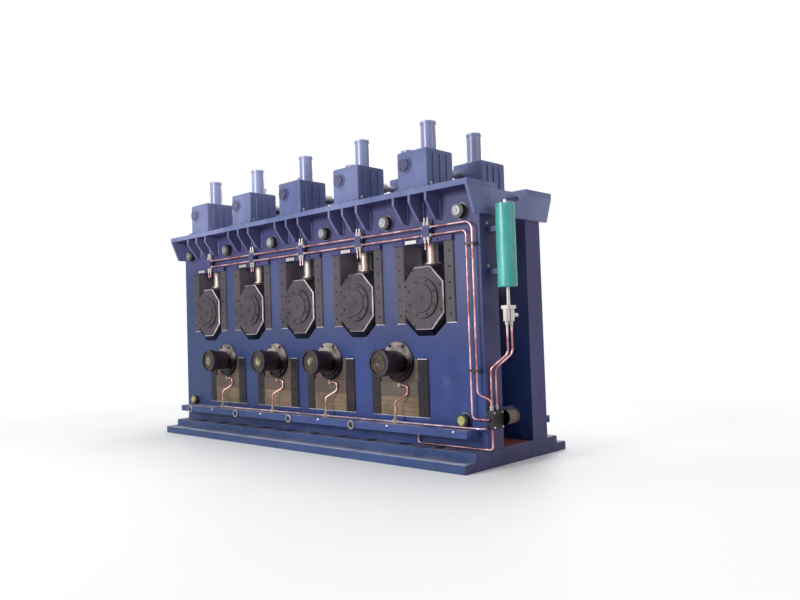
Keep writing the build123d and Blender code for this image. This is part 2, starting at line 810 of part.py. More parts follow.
def ledge_lines():
    """The pipe along the ledge, a curl from it to every lower chock, and the pipe at the foot."""
    y = -outer_y - ledge_pipe_reach
    z = ledge_top + ledge_pipe_rise
    port_x = half_length + pump_inset
    half = ledge_block_size / 2
    start_x = lower_x[0] + ledge_block_shift - ledge_block_size
    along = [(start_x, y, z), (port_x, y, z), (port_x, pump_front, z)]
    bore = pipe(along, [line_bend_radius], pipe_radius + pipe_seat)
    pipes = [pipe(along, [line_bend_radius])]
    fittings = []
    block_top = ledge_top + ledge_block_size
    tip = block_top + fitting_height
    nipple_z = lower_roll_z - nipple_drop
    face_y = -outer_y - chock_step
    for x in lower_x:
        place = x + ledge_block_shift
        body = block(place - half, place + half, y - half, y + half, ledge_top, block_top) - bore
        fittings.append(body + tube_nut(place, y, block_top, 1))
        curl_y = face_y - fitting_nut_radius
        elbow_x = place + fitting_nut_radius
        fittings.append(block(place - fitting_nut_radius, elbow_x, face_y, face_y - 2 * fitting_nut_radius,
                              nipple_z - fitting_nut_radius, nipple_z + fitting_nut_radius))
        turn_x = place + curl_reach
        turn_z = nipple_z - curl_height
        curl = [(elbow_x, curl_y, nipple_z), (turn_x, curl_y, nipple_z), (turn_x, curl_y, turn_z),
                (place, y, turn_z - curl_slant), (place, y, tip)]
        pipes.append(pipe(curl, [curl_bend_radius, curl_bend_radius, curl_bend_radius]))
    foot_y = -outer_y - foot_pipe_standoff
    foot_z = plinth_top + foot_pipe_rise
    foot_x = half_length + pump_depth / 2
    end_x = half_length - foot_pipe_end_inset
    outlet_y = pump_front + foot_pipe_standoff
    foot = [(foot_x, outlet_y, ledge_top), (foot_x, outlet_y, foot_z), (foot_x, foot_y, foot_z),
            (end_x, foot_y, foot_z), (end_x, foot_y, ledge_top - ledge_thickness)]
    pipes.append(pipe(foot, [foot_bend_radius, foot_bend_radius, foot_bend_radius]))
    write("ledge_lines", pipes)
    return fittings


def pump_nut_places():
    """Tube nuts on the pump's top: the high line's first, then the two from the distributor."""
    x = half_length + pump_depth / 2
    first = pump_front + pump_nut_radius + edge_break
    return [(x + edge_break, first), (half_length + pump_inset, first + 2 * pump_nut_radius + edge_break),
            (x, pump_front + pump_width - 3 * pump_nut_radius)]


def reservoir():
    """The upright grease tank with its screw cap and neck, and the arms that hold it."""
    top = reservoir_bottom + reservoir_height
    profile = [
        (0, reservoir_bottom - neck_length),
        (neck_radius, reservoir_bottom - neck_length),
        (neck_radius, reservoir_bottom),
        (reservoir_radius - edge_break, reservoir_bottom),
        (reservoir_radius, reservoir_bottom + edge_break),
        (reservoir_radius, top - edge_break),
        (reservoir_radius - edge_break, top),
        (reservoir_cap_radius, top),
        (reservoir_cap_radius, top + reservoir_cap_height),
        (0, top + reservoir_cap_height),
    ]
    write("grease_reservoir", turned_z(reservoir_x, reservoir_y, profile))
    half = bracket_width / 2
    tank = rod_z(reservoir_x, reservoir_y, reservoir_radius, reservoir_bottom, top)
    arms = []
    for z in (reservoir_bottom + bracket_inset, top - 2 * bracket_inset):
        arms.append(block(half_length, reservoir_x, reservoir_y - half, reservoir_y + half, z,
                          z + bracket_height) - tank)
    write("reservoir_brackets", arms)


def distributor_and_pump():
    """Two hexagon valves on a bridge under the tank, the pump at the foot, and the pipes between."""
    bridge_top = reservoir_bottom - neck_length
    bridge_bottom = bridge_top - distributor_bridge
    hex_bottom = bridge_bottom - distributor_height
    nut_bottom = hex_bottom - fitting_height
    reach = hex_spacing / 2 + hex_radius
    body = block(reservoir_x - distributor_width / 2, reservoir_x + distributor_width / 2, reservoir_y - reach,
                 reservoir_y + reach, bridge_bottom, bridge_top)
    runs = []
    nuts = pump_nut_places()
    nut_top = pump_top + pump_nut_height
    for hand, (nut_x, nut_y) in zip(sides, nuts[1:]):
        y = reservoir_y + hand * hex_spacing / 2
        hexagon = Plane(origin=(reservoir_x, y, hex_bottom)) * RegularPolygon(hex_radius, 6)
        body += extrude(hexagon, amount=distributor_height)
        body += tube_nut(reservoir_x, y, hex_bottom, -1)
        high = (reservoir_x, y, pump_top + pump_line_high_bend)
        low = (nut_x, nut_y, pump_top + pump_line_low_bend)
        radii = [pump_line_bend_radius, pump_line_bend_radius]
        runs.append(pipe([(reservoir_x, y, nut_bottom), high, low, (nut_x, nut_y, nut_top)], radii))
    body += rod_y(reservoir_x, hex_bottom + distributor_height / 2, fitting_nut_radius,
                  reservoir_y + hex_spacing / 2, reservoir_y + reach + fitting_height)
    write("grease_distributor", body)
    write("pump_lines", runs)
    motor_y = pump_front + pump_width
    pump = block(half_length, half_length + pump_depth, pump_front, motor_y, ledge_top, pump_top)
    pump += [rod_z(x, y, pump_nut_radius, pump_top, nut_top) for x, y in nuts]
    write("grease_pump", pump)
    motor_x = half_length + motor_radius + motor_gap
    motor_z = pump_top - motor_radius - edge_break
    motor = rod_y(motor_x, motor_z, motor_radius, motor_y, motor_y + motor_length)
    motor += block(half_length, motor_x, motor_y + motor_gap, motor_y + motor_length - motor_gap,
                   motor_z - motor_base_height, motor_z + motor_base_height)
    write("pump_motor", motor)


base_plates()
write("front_side_frame", side_frame(-1))
write("rear_side_frame", side_frame(1))
tie_rods()
top_flanges()
end_plates()
screw_towers()
window_liners()
lower_windows()
upper_roll_sets()
lower_rolls()
ledges()
write("lube_fittings", lube_lines() + ledge_lines())
reservoir()
distributor_and_pump()
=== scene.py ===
"""Finishes, small fasteners, camera and light for the multi-roll straightening machine.

Metres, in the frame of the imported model: X along the pass line, the front faces -Y, Z is up.
"""
import math

import bmesh
import bpy
from mathutils import Matrix, Vector


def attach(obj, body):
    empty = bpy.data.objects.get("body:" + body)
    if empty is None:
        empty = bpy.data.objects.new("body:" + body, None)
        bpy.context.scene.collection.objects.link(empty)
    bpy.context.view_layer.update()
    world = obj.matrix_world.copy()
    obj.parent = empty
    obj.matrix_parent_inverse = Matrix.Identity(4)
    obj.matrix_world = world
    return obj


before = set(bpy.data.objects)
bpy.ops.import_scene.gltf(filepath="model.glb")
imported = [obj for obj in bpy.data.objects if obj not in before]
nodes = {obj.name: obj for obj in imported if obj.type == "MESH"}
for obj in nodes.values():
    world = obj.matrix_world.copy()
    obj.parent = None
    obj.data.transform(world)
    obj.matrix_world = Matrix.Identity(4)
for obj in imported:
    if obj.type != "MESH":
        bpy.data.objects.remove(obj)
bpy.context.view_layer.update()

# The two signs of a mirrored pair: front and rear along Y, far and near along X, low and high.
SIDES = (-1, 1)
ALONG = Vector((1, 0, 0))
BACK = Vector((0, 1, 0))
UP = Vector((0, 0, 1))

# The axes of the rolls and of the adjusting screws.
UPPER_X = [-1.43, -0.73, -0.03, 0.67, 1.37]
LOWER_X = [-1.15, -0.38, 0.32, 1.09]
UPPER_Z = 1.16
LOWER_Z = 0.706
SCREW_Y = 0.2695

# The distance from the middle plane to each outer face that carries small parts.
FRAME_FACE = 0.362
SPACER_FACE = 0.372
LINER_FACE = 0.374
KEEPER_FACE = 0.386
FLANGE_FACE = 0.386
CHOCK_FACE = 0.392
COVER_STEP = 0.406
COVER_FACE = 0.414
LEDGE_FACE = 0.5
SHAFT_END = 0.572
RING_NUT_FACE = 0.58

# Heights of level faces.
PLINTH_TOP = 0.118
WINDOW_BOTTOM = 0.985
DECK_TOP = 1.925
GEARBOX_TOP = 2.202


def rgb(red, green, blue):
    """A display colour, 0 to 255, as the linear colour that shader sockets take."""
    levels = [channel / 255 for channel in (red, green, blue)]
    linear = [c / 12.92 if c <= 0.04045 else ((c + 0.055) / 1.055) ** 2.4 for c in levels]
    return (*linear, 1.0)


WHITE = (1.0, 1.0, 1.0, 1.0)


class Signal:
    """A shader socket that can be used in arithmetic."""

    def __init__(self, nodework, socket):
        self.nodework = nodework
        self.socket = socket

    def math(self, operation, *values):
        inputs = dict(enumerate(values))
        return self.nodework.add("ShaderNodeMath", {"operation": operation}, inputs)

    def __add__(self, other):
        return self.math("ADD", self, other)

    __radd__ = __add__

    def __mul__(self, other):
        return self.math("MULTIPLY", self, other)

    __rmul__ = __mul__

    def __sub__(self, other):
        return self.math("SUBTRACT", self, other)

    def __rsub__(self, other):
        return self.math("SUBTRACT", other, self)

    def __abs__(self):
        return self.math("ABSOLUTE", self)

    def __pow__(self, other):
        return self.math("POWER", self, other)

    def sine(self):
        return self.math("SINE", self)

    def between(self, low, high):
        """0 below low, 1 above high and a smooth step in between."""
        inputs = {"Value": self, "From Min": low, "From Max": high}
        return self.nodework.add("ShaderNodeMapRange", {"interpolation_type": "SMOOTHSTEP"}, inputs)


class Nodework:
    """The node tree of a material or of the world, built node by node."""

    def __init__(self, tree):
        self.tree = tree

    def add(self, kind, settings, inputs, output=0):
        """One node: its settings first, then the values or links of its sockets."""
        node = self.tree.nodes.new(kind)
        for key, value in settings.items():
            setattr(node, key, value)
        for key, value in inputs.items():
            if isinstance(value, Signal):
                self.tree.links.new(value.socket, node.inputs[key])
            else:
                node.inputs[key].default_value = value
        return Signal(self, node.outputs[output])

    def background_rays(self):
        """1 for the rays that meet the white background: camera, mirrored and refracted ones."""
        kinds = ("Is Camera Ray", "Is Glossy Ray", "Is Transmission Ray")
        return sum(self.add("ShaderNodeLightPath", {}, {}, kind) for kind in kinds)

    def show(self, factor, first, second, output):
        """Sends a blend of two shaders to the output node of that name."""
        blend = self.add("ShaderNodeMixShader", {}, {0: factor, 1: first, 2: second})
        self.tree.links.new(blend.socket, self.tree.nodes[output].inputs["Surface"])


class Finish(Nodework):
    """A procedural material on a Principled shader."""

    COAT_ROUGHNESS = 0.25

    def __init__(self, name, roughness=0.5, metallic=0.0, coat=0.0):
        self.material = bpy.data.materials.new(name)
        self.material.use_nodes = True
        super().__init__(self.material.node_tree)
        self.shader = self.tree.nodes["Principled BSDF"]
        plain = {"Roughness": roughness, "Metallic": metallic, "Coat Weight": coat,
                 "Coat Roughness": self.COAT_ROUGHNESS}
        for socket, value in plain.items():
            self.shader.inputs[socket].default_value = value
        self.place = self.add("ShaderNodeTexCoord", {}, {}, "Object")
        axes = self.tree.nodes.new("ShaderNodeSeparateXYZ")
        self.tree.links.new(self.place.socket, axes.inputs[0])
        self.x, self.y, self.z = (Signal(self, axes.outputs[axis]) for axis in range(3))

    def noise(self, scale, detail=3.0, stretch=(1.0, 1.0, 1.0), roughness=0.55):
        """Noise on Object coordinates, which stretch multiplies along each axis."""
        place = self.add("ShaderNodeMapping", {}, {"Vector": self.place, "Scale": stretch})
        inputs = {"Vector": place, "Scale": scale, "Detail": detail, "Roughness": roughness}
        return self.add("ShaderNodeTexNoise", {}, inputs)

    def facing_up(self):
        """1 on faces that look up."""
        normal = self.add("ShaderNodeNewGeometry", {}, {}, "Normal")
        return self.add("ShaderNodeSeparateXYZ", {}, {0: normal}, "Z").between(0.5, 0.9)

    def mix(self, factor, first, second):
        """A blend of two colours."""
        inputs = {0: factor, 6: first, 7: second}
        return self.add("ShaderNodeMix", {"data_type": "RGBA"}, inputs, output=2)

    def bump(self, height, distance, strength=1.0):
        inputs = {"Height": height, "Distance": distance, "Strength": strength}
        self.feed("Normal", self.add("ShaderNodeBump", {}, inputs))

    def feed(self, socket, signal):
        self.tree.links.new(signal.socket, self.shader.inputs[socket])


# Tones that lie over the blue paint. The first three are painted light: shade low at the far end, a
# sheen higher up and a shaded band above the windows; the rest are the paint's own marks.
FAR_SHADE_BLUE = rgb(44, 58, 92)
SHEEN_BLUE = rgb(100, 102, 130)
BAND_SHADE_VIOLET = rgb(72, 68, 112)
RUN_BLUE = rgb(40, 46, 84)
SMEAR_GREY = rgb(128, 122, 146)
DUST_GREY = rgb(178, 168, 180)
CHIP_GREY = rgb(150, 140, 138)
SPLASH_GREY = rgb(84, 82, 96)
PRIMER_DEEP = rgb(120, 62, 58)
PRIMER_LIGHT = rgb(158, 92, 84)
RIM_DUST = rgb(186, 188, 204)


def machine_enamel(name, deep, light, floor_primer=False, dust=0.35, far_low_shade=0.6, upper_painted_light=0.0,
                   gloss=0.0):
    """Sprayed machine enamel: cloudy tone, runs, dust on top faces, chips and an orange peel.

    The argument after dust sets a cooler, darker blue painted low at the far end as shade,
    the next a paler blue painted higher up towards the near end as sheen, together with a
    darker violet band painted as shade above the windows; floor_primer bares the floor
    between the frames.
    """
    paint = Finish(name, coat=0.05 + 0.4 * gloss)
    paint.shader.inputs["Specular IOR Level"].default_value = 0.3 + 0.2 * gloss
    cloud = paint.noise(scale=1.3, detail=4.0).between(0.36, 0.66)
    runs = paint.noise(scale=5.0, detail=5.0, stretch=(1.0, 1.0, 0.14)).between(0.5, 0.78)
    tone = paint.mix(cloud, deep, light)
    # Painted shade: a cooler, darker blue low at the far end.
    far, low = 1 - paint.x.between(-1.7, 1.3), 1 - paint.z.between(1.3, 2.0)
    tone = paint.mix(far * low * far_low_shade, tone, FAR_SHADE_BLUE)
    if upper_painted_light:
        # Painted sheen: a paler blue higher up towards the near end.
        high, near = paint.z.between(0.6, 1.3), paint.x.between(-1.6, 0.6)
        tone = paint.mix(high * near * upper_painted_light, tone, SHEEN_BLUE)
        # Painted shade: a darker violet band above the windows, under the top flanges.
        shaded_band = paint.z.between(1.5, 1.66)
        tone = paint.mix(shaded_band * upper_painted_light * 1.4, tone, BAND_SHADE_VIOLET)
    tone = paint.mix(runs * 0.34, tone, RUN_BLUE)
    smears = paint.noise(scale=9.0, detail=6.0, stretch=(1.0, 1.0, 0.5)).between(0.58, 0.8)
    tone = paint.mix(smears * 0.2, tone, SMEAR_GREY)
    dusty = paint.facing_up() * paint.noise(scale=6.0, detail=6.0).between(0.25, 0.7) * dust
    tone = paint.mix(dusty, tone, DUST_GREY)
    worn = paint.noise(scale=3.0, detail=2.0).between(0.5, 0.7)
    chips = paint.noise(scale=70.0).between(0.735, 0.75) * worn
    tone = paint.mix(chips, tone, CHIP_GREY)
    near_floor = 1 - paint.z.between(0.1, 0.34)
    splashes = paint.noise(scale=11.0, detail=5.0).between(0.42, 0.75)
    tone = paint.mix(near_floor * splashes * 0.35, tone, SPLASH_GREY)
    if floor_primer:
        inside = 1 - abs(paint.y).between(0.165, 0.18)
        between_ends = 1 - abs(paint.x).between(1.82, 1.89)
        rusty = paint.mix(paint.noise(scale=14.0, detail=5.0), PRIMER_DEEP, PRIMER_LIGHT)
        tone = paint.mix(inside * paint.facing_up() * between_ends, tone, rusty)
        outer_edge = abs(paint.y).between(0.53, 0.6)
        lowest_step = 1 - paint.z.between(0.07, 0.1)
        patches = paint.noise(scale=10.0, detail=6.0).between(0.25, 0.5)
        rim = paint.facing_up() * outer_edge * lowest_step * patches
        tone = paint.mix(rim * 0.85, tone, RIM_DUST)
    paint.feed("Base Color", tone)
    paint.feed("Roughness", 0.46 - 0.1 * gloss + 0.12 * cloud + 0.25 * dusty + 0.1 * smears)
    grain = paint.noise(scale=260.0, detail=2.0)
    peel = paint.noise(scale=24.0, detail=2.0)
    paint.bump(grain + 1.6 * peel - 1.2 * chips, distance=0.0007, strength=0.5)
    return paint.material


def gloss_enamel(name, deep, light):
    """Gloss tank enamel with soft upright streaks and a little dirt."""
    paint = Finish(name, coat=0.25)
    cloud = paint.noise(scale=7.0, detail=4.0, stretch=(1.0, 1.0, 0.25))
    tone = paint.mix(cloud.between(0.35, 0.68), deep, light)
    marks = paint.noise(scale=45.0, detail=5.0).between(0.62, 0.72)
    tone = paint.mix(marks * 0.35, tone, rgb(66, 92, 92))
    paint.feed("Base Color", tone)
    paint.feed("Roughness", 0.34 + 0.2 * marks + 0.1 * cloud)
    paint.bump(paint.noise(scale=230.0, detail=2.0), distance=0.0005, strength=0.35)
    return paint.material


def worked_steel(name, dark, bright, lay, roughness=0.36, metallic=0.9, oil=0.4, depth=0.0006,
                 stain=rgb(74, 60, 52)):
    """Machined steel: tool marks across the lay, an oil film, stains and small scratches."""
    steel = Finish(name, metallic=metallic)
    marks = steel.noise(scale=60.0, detail=4.0, stretch=lay, roughness=0.7)
    fine = steel.noise(scale=260.0, detail=2.0, stretch=lay, roughness=0.6)
    cloud = steel.noise(scale=4.2, detail=5.0).between(0.3, 0.72)
    tone = steel.mix(0.55 * cloud + 0.45 * marks.between(0.3, 0.7), dark, bright)
    film = steel.noise(scale=8.0, detail=6.0, stretch=(1.0, 1.0, 0.6)).between(0.48, 0.7) * oil
    tone = steel.mix(film, tone, stain)
    scratches = steel.noise(scale=38.0, detail=2.0, stretch=(1.0, 1.0, 9.0)).between(0.7, 0.72)
    tone = steel.mix(scratches * 0.5, tone, bright)
    steel.feed("Base Color", tone)
    steel.feed("Roughness", roughness + 0.2 * cloud - 0.14 * film + 0.1 * marks)
    steel.bump(marks + 0.5 * fine - scratches, distance=depth, strength=0.55)
    return steel.material


def flange_dark_below_shaft(name, dark, bright):
    """A bearing flange: bright olive steel above the shaft, near black and less rough below it."""
    dark_ends_above, dark_full_below, runs = LOWER_Z + 0.095, LOWER_Z + 0.045, 0.09
    steel = Finish(name, metallic=0.75)
    cloud = steel.noise(scale=14.0, detail=5.0).between(0.3, 0.7)
    smear = steel.noise(scale=30.0, detail=6.0, stretch=(1.0, 1.0, 0.5))
    tone = steel.mix(cloud, dark, bright)
    darker_below = 1 - (steel.z + runs * smear).between(dark_full_below, dark_ends_above)
    tone = steel.mix(darker_below, tone, rgb(32, 24, 28))
    patch = smear.between(0.56, 0.68) * 0.5
    tone = steel.mix(patch, tone, rgb(52, 40, 40))
    steel.feed("Base Color", tone)
    steel.feed("Roughness", 0.42 - 0.18 * darker_below + 0.12 * cloud)
    steel.bump(smear + steel.noise(scale=90.0), distance=0.0008, strength=0.5)
    return steel.material


def turned_face(name, dark, bright, stations):
    """Faced shaft ends: rings of tool marks round each shaft and a painted olive glint in the
    middle of all but the nearest.
    """
    rings_per_metre = 900
    steel = Finish(name, metallic=0.75)
    waves, glints = [], []
    for x in stations:
        reach = ((steel.x - x) ** 2 + (steel.z - LOWER_Z) ** 2) ** 0.5
        waves.append((1 - reach.between(0.11, 0.13)) * (rings_per_metre * reach).sine())
        glints.append(1 - reach.between(0.01, 0.05))
    rings = 0.5 * sum(waves) + 0.5
    cloud = steel.noise(scale=22.0, detail=5.0).between(0.3, 0.7)
    tone = steel.mix(0.6 * cloud + 0.4 * rings, dark, bright)
    # Painted highlight: an olive glint at the centre of each shaft end but the nearest.
    far = 1 - steel.x.between(0.4, 0.8)
    painted_glint = sum(glints) * steel.noise(scale=18.0).between(0.3, 0.6) * far
    tone = steel.mix(painted_glint * 0.8, tone, rgb(186, 188, 140))
    spots = steel.noise(scale=60.0, detail=5.0).between(0.56, 0.66)
    tone = steel.mix(spots * 0.6, tone, rgb(44, 34, 34))
    steel.feed("Base Color", tone)
    steel.feed("Roughness", 0.34 + 0.14 * cloud)
    steel.bump(0.4 * rings + steel.noise(scale=120.0), distance=0.0006, strength=0.5)
    return steel.material


def drawn_tube(name, dark, bright):
    """Drawn copper tube: warm and cool tarnish, dull spots and a soft shine."""
    tube = Finish(name, metallic=0.95)
    tarnish = tube.noise(scale=9.0, detail=5.0).between(0.35, 0.7)
    spots = tube.noise(scale=120.0).between(0.6, 0.72)
    tone = tube.mix(tarnish, dark, bright)
    tone = tube.mix(spots * 0.25, tone, rgb(120, 76, 72))
    tube.feed("Base Color", tone)
    tube.feed("Roughness", 0.24 + 0.2 * tarnish + 0.15 * spots)
    tube.bump(tube.noise(scale=320.0, detail=2.0), distance=0.0001, strength=0.3)
    return tube.material


# Paints.
# Only the frame enamel takes the painted sheen and the painted shaded band above the windows.
BLUE = machine_enamel("blue_enamel", rgb(24, 44, 103), rgb(48, 68, 127), upper_painted_light=0.5, far_low_shade=0.75)
BLUE_BASE = machine_enamel("blue_enamel_base", rgb(36, 60, 106), rgb(56, 80, 126),
                           floor_primer=True, dust=0.45, far_low_shade=0.3)
BLUE_LEDGE = machine_enamel("blue_enamel_ledges", rgb(36, 56, 108), rgb(58, 78, 132),
                            dust=0.8, far_low_shade=0.3)
# Paler copy of the blue enamel for the top flanges, gearboxes and gusset noses: a painted sheen for
# the light the upper parts catch.
BLUE_TOWER = machine_enamel("blue_enamel_tower_painted_sheen", rgb(90, 100, 144), rgb(120, 127, 166), far_low_shade=0.15)
# Paler, glossier copy for the screw tubes: its pale colour is a painted reflection of bright light.
BLUE_TUBE = machine_enamel("blue_enamel_tube_painted_reflection", rgb(114, 121, 164), rgb(146, 152, 194), gloss=1.4)
# Paler copy for the end crossbeams: painted light, the haze of light coming from behind.
BLUE_END = machine_enamel("blue_enamel_ends_painted_light", rgb(104, 110, 152), rgb(136, 140, 180), far_low_shade=0.2)
# Lighter violet copy for the gussets: painted fill light on faces that lie in shade under the top
# flanges.
BLUE_RIB = machine_enamel("blue_enamel_gussets_painted_light", rgb(84, 82, 128), rgb(112, 108, 150),
                          dust=0.1, far_low_shade=0.2)
# Darker violet copy: painted shade, for the undersides of the top flanges, the end faces of the
# frames and base plates, and the keeper plates at the window heads.
BLUE_PAINTED_SHADE = machine_enamel("blue_enamel_painted_shade", rgb(50, 47, 93), rgb(72, 66, 113),
                            dust=0.1, far_low_shade=0.2)
# Pale copy for the upright gusset beads: a painted highlight along each gusset root.
BEAD_BLUE = machine_enamel("blue_enamel_beads_painted_highlight", rgb(112, 116, 160), rgb(150, 152, 196),
                           dust=0.1, far_low_shade=0.0)
COVER_BLUE = machine_enamel("blue_enamel_cover", rgb(70, 72, 104), rgb(96, 98, 124),
                            dust=0.1, far_low_shade=0.0)
TEAL = gloss_enamel("teal_enamel", rgb(44, 146, 136), rgb(84, 186, 178))

# Steel in the windows and on the rolls.
CHOCK_STEEL = worked_steel("chock_steel", rgb(56, 50, 58), rgb(96, 88, 94),
                           lay=(1.0, 1.0, 14.0), roughness=0.46, metallic=0.7)
BEVEL_STEEL = worked_steel("bevel_steel", rgb(170, 166, 172), rgb(236, 232, 236),
                           lay=(1.0, 6.0, 1.0), roughness=0.34, metallic=0.7, oil=0.6)
LOW_CHOCK_STEEL = worked_steel("low_chock_steel", rgb(68, 59, 54), rgb(112, 99, 90),
                               lay=(1.0, 1.0, 16.0), roughness=0.44, metallic=0.6)
PLATE_STEEL = worked_steel("plate_steel", rgb(82, 66, 46), rgb(150, 130, 108),
                           lay=(1.0, 1.0, 24.0), roughness=0.42, metallic=0.65)
UPPER_LINER_STEEL = worked_steel("upper_liner_steel", rgb(58, 54, 60), rgb(94, 90, 94),
                                 lay=(9.0, 1.0, 1.0), roughness=0.46, metallic=0.6)
LINER_BROWN = worked_steel("lower_liner_brown", rgb(24, 20, 28), rgb(50, 44, 52),
                           lay=(9.0, 1.0, 1.0), roughness=0.42, metallic=0.55)
# Lighter steel for the inner jamb faces of the upper liners: painted light in the window openings.
JAMB_PAINTED_LIGHT = worked_steel("liner_jambs_painted_light", rgb(104, 92, 108), rgb(158, 146, 162),
                          lay=(1.0, 1.0, 9.0), roughness=0.44, metallic=0.35)
FLANGE_STEEL = flange_dark_below_shaft("flange_steel", rgb(100, 93, 90), rgb(170, 160, 154))
END_STEEL = turned_face("shaft_end_steel", rgb(46, 38, 38), rgb(92, 80, 72), LOWER_X)
HUB_STEEL = worked_steel("hub_steel", rgb(34, 26, 32), rgb(84, 68, 76),
                         lay=(1.0, 16.0, 1.0), roughness=0.3, metallic=0.7)
SCREW_STEEL = worked_steel("greased_screw_steel", rgb(138, 118, 108), rgb(206, 194, 188),
                           lay=(1.0, 1.0, 12.0), roughness=0.3, oil=0.5, depth=0.0004,
                           stain=rgb(92, 66, 52))
ROLL_STEEL = worked_steel("roll_steel", rgb(120, 118, 122), rgb(196, 194, 196),
                          lay=(1.0, 18.0, 1.0), roughness=0.26, metallic=0.95)

# Rods, nuts, screws and fittings.
CHROME = worked_steel("chrome_ring", rgb(112, 112, 118), rgb(182, 182, 186),
                      lay=(3.0, 3.0, 3.0), roughness=0.34, oil=0.25)
NUT_BLACK = worked_steel("burnished_nut", rgb(40, 38, 44), rgb(88, 84, 90),
                         lay=(1.0, 8.0, 1.0), roughness=0.3, metallic=0.8, oil=0.2)
ROD_END = worked_steel("rod_end_steel", rgb(70, 67, 70), rgb(134, 130, 132),
                       lay=(4.0, 4.0, 4.0), roughness=0.34, metallic=0.85, oil=0.3,
                       stain=rgb(50, 46, 50))
OLIVE_END = worked_steel("olive_rod_end", rgb(104, 104, 62), rgb(196, 196, 128),
                         lay=(6.0, 6.0, 6.0), roughness=0.34, metallic=0.85)
NICKEL = worked_steel("nickel_fittings", rgb(150, 144, 142), rgb(212, 206, 204),
                      lay=(5.0, 5.0, 5.0), metallic=0.8, oil=0.2)
BLACK_CAST = worked_steel("black_cast_iron", rgb(22, 22, 28), rgb(50, 50, 56),
                          lay=(3.0, 3.0, 3.0), roughness=0.5, metallic=0.3, oil=0.3)
ALUMINIUM = worked_steel("motor_aluminium", rgb(72, 60, 58), rgb(122, 105, 100),
                         lay=(1.0, 12.0, 1.0), roughness=0.4, metallic=0.8, oil=0.3)
ZINC = worked_steel("zinc_screws", rgb(188, 188, 192), rgb(246, 246, 248),
                    lay=(4.0, 4.0, 4.0), roughness=0.3, metallic=0.8, oil=0.08)
DARK_SCREW = worked_steel("black_screws", rgb(26, 24, 30), rgb(66, 62, 68),
                          lay=(4.0, 4.0, 4.0), roughness=0.38, metallic=0.7, oil=0.2)
COPPER = drawn_tube("copper_tube", rgb(168, 108, 112), rgb(236, 194, 196))
DUSTY_COPPER = drawn_tube("dusty_copper_tube", rgb(172, 144, 158), rgb(222, 204, 214))
DULL_BRASS = worked_steel("dull_fittings", rgb(122, 104, 92), rgb(178, 164, 152),
                          lay=(5.0, 5.0, 5.0), roughness=0.4, metallic=0.7, oil=0.3)

NODE_FINISH = {
    "bottom_plate": BLUE_BASE, "plinth_plate": BLUE_BASE, "front_side_frame": BLUE,
    "rear_side_frame": BLUE, "tie_rods": NUT_BLACK, "tie_rod_spacers": BLUE,
    "top_flanges": BLUE_TOWER, "gussets": BLUE_RIB, "end_crossbeams": BLUE_END,
    "screw_gearboxes": BLUE_TOWER, "screw_tubes": BLUE_TUBE, "worm_covers": COVER_BLUE,
    "cross_shafts": ROLL_STEEL, "upper_liners": UPPER_LINER_STEEL, "lower_liners": LINER_BROWN,
    # The keeper plates take the painted-shade enamel: the band at each window head drawn dark as in
    # shadow.
    "keeper_plates": BLUE_PAINTED_SHADE, "lower_chocks": LOW_CHOCK_STEEL, "shaft_flanges": FLANGE_STEEL,
    "spacer_stacks": PLATE_STEEL, "ledges": BLUE_LEDGE, "lube_manifolds": BLUE,
    "lube_lines": COPPER, "lube_fittings": NICKEL, "line_clamps": NUT_BLACK,
    "ledge_lines": COPPER, "grease_reservoir": TEAL, "reservoir_brackets": BLUE,
    "grease_distributor": NICKEL, "grease_pump": BLACK_CAST, "pump_motor": ALUMINIUM,
    "pump_lines": COPPER,
}
for number in range(1, len(UPPER_X) + 1):
    NODE_FINISH[f"upper_chocks_{number}"] = CHOCK_STEEL
    NODE_FINISH[f"upper_screws_{number}"] = SCREW_STEEL
    NODE_FINISH[f"upper_roll_{number}"] = ROLL_STEEL
for number in range(1, len(LOWER_X) + 1):
    NODE_FINISH[f"lower_roll_{number}"] = ROLL_STEEL
    NODE_FINISH[f"lower_hubs_{number}"] = HUB_STEEL


def dress_nodes():
    """Gives every CAD node its main finish."""
    for name, material in NODE_FINISH.items():
        nodes[name].data.materials.clear()
        nodes[name].data.materials.append(material)


def dress_faces(name, material, test):
    """Gives a finish of its own to the faces of a CAD node whose centre and normal pass a test."""
    mesh = nodes[name].data
    mesh.materials.append(material)
    index = len(mesh.materials) - 1
    for face in mesh.polygons:
        if test(face.center, face.normal):
            face.material_index = index


